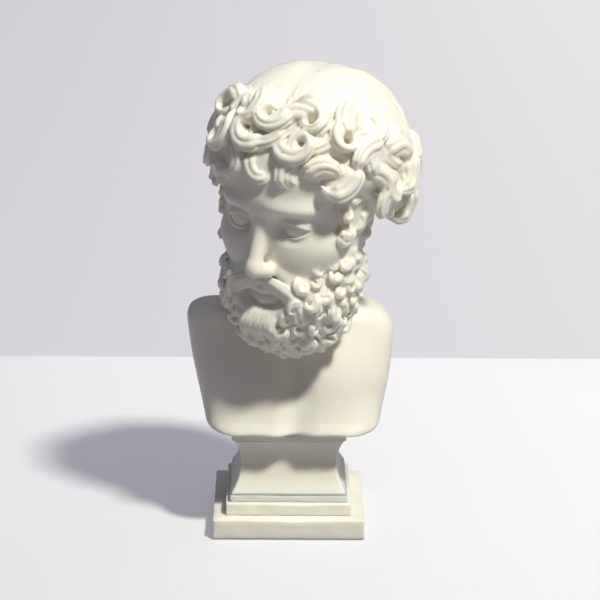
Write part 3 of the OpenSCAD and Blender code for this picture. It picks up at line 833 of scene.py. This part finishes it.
def slab_rings(half, low, high):
    """Rings up the outside of a slab, from its underside to its top."""
    sides = [(half, CORNER, z) for z in np.linspace(low + EDGE, high - EDGE, 5)[1:-1]]
    return edge_rings(half, low, -1)[::-1] + sides + edge_rings(half, high, 1)


def course(node, bore, ledge):
    """Square slab with soft, slightly uneven edges, bored for the rod."""
    low, high = (corner[2] for corner in box_mm(node))
    half = box_mm(node)[1][0]
    rings = slab_rings(half, low, high)
    rings += [(half - ledge, CORNER, high), (bore, bore, high),
              (bore, bore, low), (half - ledge, CORNER, low)]
    name, points, faces = band(node + "_stone", rings)
    return new_object(name, uneven(points, half, high, ledge), faces)


def plinth_stone():
    """Bottom block, with a recess for the felt and a counterbore for the nut."""
    low, high = (corner[2] for corner in box_mm("plinth"))
    half = box_mm("plinth")[1][0]
    felt_half = box_mm("felt_pad")[1][0]
    felt_top = box_mm("felt_pad")[1][2]
    roof = box_mm("flat_washer")[1][2]
    well = box_mm("flat_washer")[1][0] + COUNTERBORE_GAP
    rings = slab_rings(half, low, high)
    rings += [(half - PLINTH_LEDGE, CORNER, high), (BORE_R, BORE_R, high), (BORE_R, BORE_R, roof),
              (well, well, roof), (well, well, felt_top), (felt_half, CORNER, felt_top),
              (felt_half, CORNER, low)]
    name, points, faces = band("plinth_stone", rings)
    return new_object(name, uneven(points, half, high, PLINTH_LEDGE), faces)


WAIST_NECK_W, WAIST_TOP_W, WAIST_NECK_AT = 31.6, 36.6, 10.4


def hollow(out, high, share):
    """Point of a hollow curve that starts upright: how far out and how high at a share of its arc."""
    radius = (out ** 2 + high ** 2) / (2 * out)
    a = math.asin(high / radius) * share
    return radius * (1 - math.cos(a)), radius * math.sin(a)


def waist_stone():
    """Block with four hollowed faces, bored for the rod and for the bush."""
    low, high = (corner[2] for corner in box_mm("socle_waist"))
    foot, top, neck = box_mm("socle_waist")[1][0], WAIST_TOP_W / 2, WAIST_NECK_W / 2
    rings = []
    for share in np.linspace(1, 0, 12):
        out, rise = hollow(foot - neck, WAIST_NECK_AT, share)
        rings.append((neck + out, CORNER, low + WAIST_NECK_AT - rise))
    for share in np.linspace(0, 1, 12)[1:]:
        out, rise = hollow(top - neck, high - low - WAIST_NECK_AT, share)
        rings.append((neck + out, CORNER, low + WAIST_NECK_AT + rise))
    rings += [(BUSH_R, BUSH_R, high), (BUSH_R, BUSH_R, BUSH_FOOT),
              (BORE_R, BORE_R, BUSH_FOOT), (BORE_R, BORE_R, low)]
    name, points, faces = band("socle_waist_stone", rings)
    return new_object(name, points, faces)


FELT_RIM, FELT_CORNER, FELT_LUMPS = 0.3, 1.5, 0.04


def felt():
    """Felt pad with a soft rim and a slightly lumpy face."""
    low, high = box_mm("felt_pad")
    half = high[0]
    sizes = np.linspace(0.02, half - FELT_RIM, 14)
    rings = [(h, min(h, FELT_CORNER), low[2]) for h in sizes]
    rings += [(half, FELT_CORNER, low[2] + FELT_RIM), (half, FELT_CORNER, high[2] - FELT_RIM)]
    rings += [(h, min(h, FELT_CORNER), high[2]) for h in sizes[::-1]]
    name, points, faces = band("felt_pad_cloth", rings)
    x, y, z = points.T
    lumps = FELT_LUMPS * (np.sin(1.9 * x + 0.6 * y) * np.sin(1.7 * y) + 1)
    inside = np.maximum(np.abs(x), np.abs(y)) < half - 1
    points[:, 2] = np.where(inside, z + np.where(z < high[2] - FELT_RIM, lumps, -lumps), z)
    return new_object(name, points, faces)


# Materials
class Look:
    """Node material with a few helpers for procedural detail."""

    def __init__(self, name, roughness, metallic=0.0):
        self.material = bpy.data.materials.new(name)
        self.material.use_nodes = True
        self.nodes, self.links = self.material.node_tree.nodes, self.material.node_tree.links
        self.shader = self.nodes["Principled BSDF"]
        self.set("Roughness", roughness)
        self.set("Metallic", metallic)
        self.place = self.nodes.new("ShaderNodeTexCoord").outputs["Object"]

    def set(self, socket, value):
        self.shader.inputs[socket].default_value = value

    def plug(self, socket, value):
        """Links a socket to an output, or sets it to a plain value."""
        if hasattr(value, "is_linked"):
            self.links.new(value, socket)
        else:
            socket.default_value = value

    def noise(self, scale, detail=4.0, stretch=None):
        """Noise over the object's own coordinates, of so many lumps to the metre."""
        node = self.nodes.new("ShaderNodeTexNoise")
        node.inputs["Scale"].default_value = scale
        node.inputs["Detail"].default_value = detail
        place = self.place
        if stretch:
            mapping = self.nodes.new("ShaderNodeMapping")
            mapping.inputs["Scale"].default_value = stretch
            self.links.new(place, mapping.inputs["Vector"])
            place = mapping.outputs["Vector"]
        self.links.new(place, node.inputs["Vector"])
        return node.outputs["Fac"]

    def ramp(self, factor, *stops):
        """Colours or greys at places along a factor."""
        node = self.nodes.new("ShaderNodeValToRGB")
        elements = node.color_ramp.elements
        while len(elements) < len(stops):
            elements.new(0.5)
        for element, (at, colour) in zip(elements, stops):
            element.position = at
            element.color = (*colour, 1) if hasattr(colour, "__len__") else (colour, colour, colour, 1)
        self.links.new(factor, node.inputs["Fac"])
        return node.outputs["Color"]

    def mix(self, factor, a, b, kind="MIX"):
        """Two colours mixed by a factor."""
        node = self.nodes.new("ShaderNodeMix")
        node.data_type = "RGBA"
        node.blend_type = kind
        # Places of the factor and the two colours among the node's sockets
        for index, value in ((0, factor), (6, a), (7, b)):
            self.plug(node.inputs[index], value)
        return node.outputs[2]

    def math(self, kind, a, b):
        """Result of a sum on two values."""
        node = self.nodes.new("ShaderNodeMath")
        node.operation = kind
        for socket, value in zip(node.inputs, (a, b)):
            self.plug(socket, value)
        return node.outputs["Value"]

    def fade(self, value, half):
        """Goes from 0 to 1 as a value goes from -half to half."""
        node = self.nodes.new("ShaderNodeMapRange")
        node.inputs["From Min"].default_value = -half
        node.inputs["From Max"].default_value = half
        self.links.new(value, node.inputs["Value"])
        return node.outputs["Result"]

    def feed(self, socket, output):
        self.links.new(output, self.shader.inputs[socket])

    def bump(self, height, strength, distance):
        """Fine relief from a height."""
        node = self.nodes.new("ShaderNodeBump")
        node.inputs["Strength"].default_value = strength
        node.inputs["Distance"].default_value = distance
        self.links.new(height, node.inputs["Height"])
        self.feed("Normal", node.outputs["Normal"])


def marble():
    """Warm off-white cast marble: faint clouding, satin, slightly translucent, with painted shade that makes
    the hollows a little darker and warmer.
    """
    look = Look("cast_marble", 0.42)
    clouds = look.ramp(look.noise(38), (0.3, (0.84, 0.815, 0.69)), (0.7, (0.86, 0.84, 0.72)))
    specks = look.ramp(look.noise(900, 2), (0.35, (0.985, 0.985, 0.98)), (0.6, (1, 1, 1)))
    colour = look.mix(1.0, clouds, specks, "MULTIPLY")
    # Painted shade: where the surface is hollow (low pointiness) the colour is made a little darker and
    # warmer
    painted_shade_mask = look.nodes.new("ShaderNodeNewGeometry").outputs["Pointiness"]
    hollows = look.ramp(painted_shade_mask, (0.42, (0.99, 0.975, 0.95)), (0.5, (1, 1, 1)))
    look.feed("Base Color", look.mix(1.0, colour, hollows, "MULTIPLY"))
    look.feed("Roughness", look.ramp(look.noise(160), (0.3, 0.36), (0.7, 0.52)))
    look.bump(look.noise(1500, 3), 0.06, 0.0002)
    look.set("Subsurface Weight", 0.6)
    look.set("Subsurface Radius", (1.0, 0.75, 0.5))
    look.set("Subsurface Scale", 0.003)
    look.set("Specular IOR Level", 0.4)
    return look.material


def brass():
    """Turned brass with fine tool marks."""
    look = Look("brass", 0.3, 1.0)
    look.feed("Base Color", look.ramp(look.noise(120), (0.3, (0.70, 0.50, 0.20)), (0.7, (0.82, 0.62, 0.28))))
    look.feed("Roughness", look.ramp(look.noise(400, stretch=(1, 1, 12)), (0.3, 0.22), (0.7, 0.42)))
    look.bump(look.noise(500, stretch=(0.2, 0.2, 10)), 0.15, 0.0001)
    return look.material


def steel():
    """Bright zinc-plated steel, a little cloudy."""
    look = Look("steel", 0.32, 1.0)
    look.feed("Base Color", look.ramp(look.noise(90), (0.3, (0.58, 0.59, 0.60)), (0.7, (0.72, 0.73, 0.74))))
    look.feed("Roughness", look.ramp(look.noise(300), (0.3, 0.25), (0.7, 0.42)))
    look.bump(look.noise(700, stretch=(1, 1, 6)), 0.12, 0.0001)
    return look.material


def nylon():
    """Milky plastic disc."""
    look = Look("nylon", 0.5)
    look.feed("Base Color", look.ramp(look.noise(150), (0.3, (0.72, 0.72, 0.69)), (0.7, (0.80, 0.80, 0.77))))
    look.feed("Roughness", look.ramp(look.noise(500), (0.3, 0.42), (0.7, 0.6)))
    look.set("Subsurface Weight", 0.2)
    look.set("Subsurface Scale", 0.001)
    return look.material


def felt_cloth():
    """Dark grey pressed felt: mixed fibres and a soft sheen."""
    look = Look("felt", 0.95)
    fibres = look.ramp(look.noise(2200, 6), (0.35, (0.035, 0.036, 0.04)), (0.65, (0.10, 0.10, 0.11)))
    look.feed("Base Color", fibres)
    look.bump(look.noise(2600, 6), 0.6, 0.0003)
    look.set("Sheen Weight", 0.5)
    return look.material


# Scene
CAMERA_AT = (-0.0034, -0.7504, 0.2773)
CAMERA_PITCH, CAMERA_YAW, CAMERA_ROLL = 15.08, 0.52, 0.44
CAMERA_LENS = 141.1


def camera():
    """Camera at the photograph's viewing angle."""
    data = bpy.data.cameras.new("camera")
    data.lens = CAMERA_LENS
    data.sensor_width = 36
    data.clip_start = 0.01
    obj = bpy.data.objects.new("camera", data)
    bpy.context.scene.collection.objects.link(obj)
    pitch, yaw, roll = (math.radians(a) for a in (CAMERA_PITCH, CAMERA_YAW, CAMERA_ROLL))
    obj.matrix_world = (Matrix.Translation(CAMERA_AT) @ Matrix.Rotation(-yaw, 4, "Z")
                        @ Matrix.Rotation(math.pi / 2 - pitch, 4, "X") @ Matrix.Rotation(roll, 4, "Z"))
    bpy.context.scene.camera = obj


KEY_FROM = Vector((0.35, -0.455, 0.815))
KEY_AWAY, KEY_SIZE, KEY_POWER, KEY_COLOR = 2.2, 0.24, 54, (1.0, 0.98, 0.92)
LIT = Vector((0, 0, 0.08))
# Cool ceiling overhead and the dim light of the room
SKY, SKY_POWER, SKY_HIGH, SKY_SIZE = (0.74, 0.75, 1.0), 8.8, 1.6, 2.0
ROOM_POWER = 0.05


def lamp(name, shape, size, power, color, at, faces):
    """Area lamp at a place, whose back looks along faces."""
    data = bpy.data.lights.new(name, "AREA")
    data.shape = shape
    data.size = size
    data.energy = power
    data.color = color
    obj = bpy.data.objects.new(name, data)
    obj.location = at
    obj.rotation_euler = faces.to_track_quat("Z", "Y").to_euler()
    bpy.context.scene.collection.objects.link(obj)


def lights():
    """Warm soft key from the upper right, a cool ceiling and a dim room."""
    away = KEY_FROM.normalized()
    lamp("key", "DISK", KEY_SIZE, KEY_POWER, KEY_COLOR, LIT + KEY_AWAY * away, away)
    lamp("ceiling", "SQUARE", SKY_SIZE, SKY_POWER, SKY, Vector((0, 0, SKY_HIGH)), Vector((0, 0, 1)))
    world = bpy.data.worlds.new("room")
    world.use_nodes = True
    back = world.node_tree.nodes["Background"]
    back.inputs["Color"].default_value = (*SKY, 1)
    back.inputs["Strength"].default_value = ROOM_POWER
    bpy.context.scene.world = world


FLOOR_HALF, FLOOR_END, WALL_FADE, PAPER_FADE = 4.0, 0.187, 0.3, 0.25
FLOOR_BOUNCE = (0.33, 0.325, 0.37, 1)
# Painted light on the floor: its colour runs from darker on the left and front to paler on the right and back
PAPER_PAINTED_SHADE, PAPER_PAINTED_LIGHT = (0.49, 0.49, 0.485), (0.73, 0.73, 0.715)
# Glowing backdrop with painted light: darker on the left, paler on the right
WALL_LEFT, WALL_RIGHT = (0.62, 0.60, 0.66), (0.81, 0.79, 0.80)
# Light that the picture of the floor gains, so that the shadow on it stays pale
FLOOR_GLOW, GLOW_COLOR = 0.225, (0.95, 0.94, 1.0, 1)


def seen_rays(look):
    """1 for rays from the camera and from mirrors and glass, 0 for the light that the floor gives back."""
    seen = look.nodes.new("ShaderNodeLightPath").outputs
    shown = seen["Is Camera Ray"]
    for ray in ("Is Glossy Ray", "Is Transmission Ray"):
        shown = look.math("MAXIMUM", shown, seen[ray])
    return shown


def floor():
    """Pale floor with painted light, darker on the left and front and paler on the right and back, and a
    painted glow that keeps the shadow on it pale; some way behind the object it turns to a glowing backdrop,
    painted darker on the left and paler on the right.
    """
    corners = np.array([(-1, -1, 0), (1, -1, 0), (1, 1, 0), (-1, 1, 0)]) * FLOOR_HALF
    obj = new_object("floor", corners / MM, [(0, 1, 2, 3)])
    look = Look("floor_paper", 0.8)
    look.set("Specular IOR Level", 0.2)
    nodes, links = look.nodes, look.links
    shown = seen_rays(look)
    split = nodes.new("ShaderNodeSeparateXYZ")
    links.new(look.place, split.inputs["Vector"])
    x, y = split.outputs["X"], split.outputs["Y"]
    # Painted light: the paper's colour goes from darker to the left and front to paler to the right and back
    painted_falloff_paper = look.ramp(look.fade(look.math("ADD", x, y), PAPER_FADE), (0, PAPER_PAINTED_SHADE), (1, PAPER_PAINTED_LIGHT))
    look.feed("Base Color", look.mix(shown, FLOOR_BOUNCE, painted_falloff_paper))
    look.feed("Emission Strength", look.math("MULTIPLY", shown, FLOOR_GLOW))
    look.set("Emission Color", GLOW_COLOR)
    # The backdrop is an emission whose painted light runs from darker on the left to paler on the right
    wall = nodes.new("ShaderNodeEmission")
    links.new(look.ramp(look.fade(x, WALL_FADE), (0, WALL_LEFT), (1, WALL_RIGHT)), wall.inputs["Color"])
    mixed = nodes.new("ShaderNodeMixShader")
    links.new(look.math("GREATER_THAN", y, FLOOR_END), mixed.inputs["Fac"])
    links.new(look.shader.outputs["BSDF"], mixed.inputs[1])
    links.new(wall.outputs["Emission"], mixed.inputs[2])
    links.new(mixed.outputs["Shader"], nodes["Material Output"].inputs["Surface"])
    obj.data.materials.append(look.material)


def dress(obj, material, body, slot, *nodes):
    """Gives a piece its material and its body, and hides the nodes that it stands for; the slot is not used.
    """
    obj.data.materials.clear()
    obj.data.materials.append(material)
    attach(obj, body)
    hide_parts(*nodes)


def finish_node(node, material):
    """Better material for a CAD node that stays."""
    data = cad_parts[node].data
    data.materials.clear()
    data.materials.append(material)


bpy.context.scene.view_settings.view_transform = "Standard"
camera()
lights()
floor()
stone = marble()
dress(bust(), stone, "bust", "marble", "bust")
dress(plinth_stone(), stone, "socle", "marble", "plinth")
dress(course("lower_step", BORE_R, LOWER_LEDGE), stone, "socle", "marble", "lower_step")
dress(course("upper_step", BORE_R, UPPER_LEDGE), stone, "socle", "marble", "upper_step")
dress(waist_stone(), stone, "socle", "marble", "socle_waist")
dress(course("socle_cap", BUSH_R, CAP_LEDGE), stone, "socle", "marble", "socle_cap")
pad = felt()
dress(pad, felt_cloth(), "socle", "felt", "felt_pad")
metal, bronze = steel(), brass()
for node in ("tie_rod", "flat_washer", "spring_washer", "nut"):
    finish_node(node, metal)
for node in ("guide_bush", "bust_insert"):
    finish_node(node, bronze)
finish_node("turning_washer", nylon())
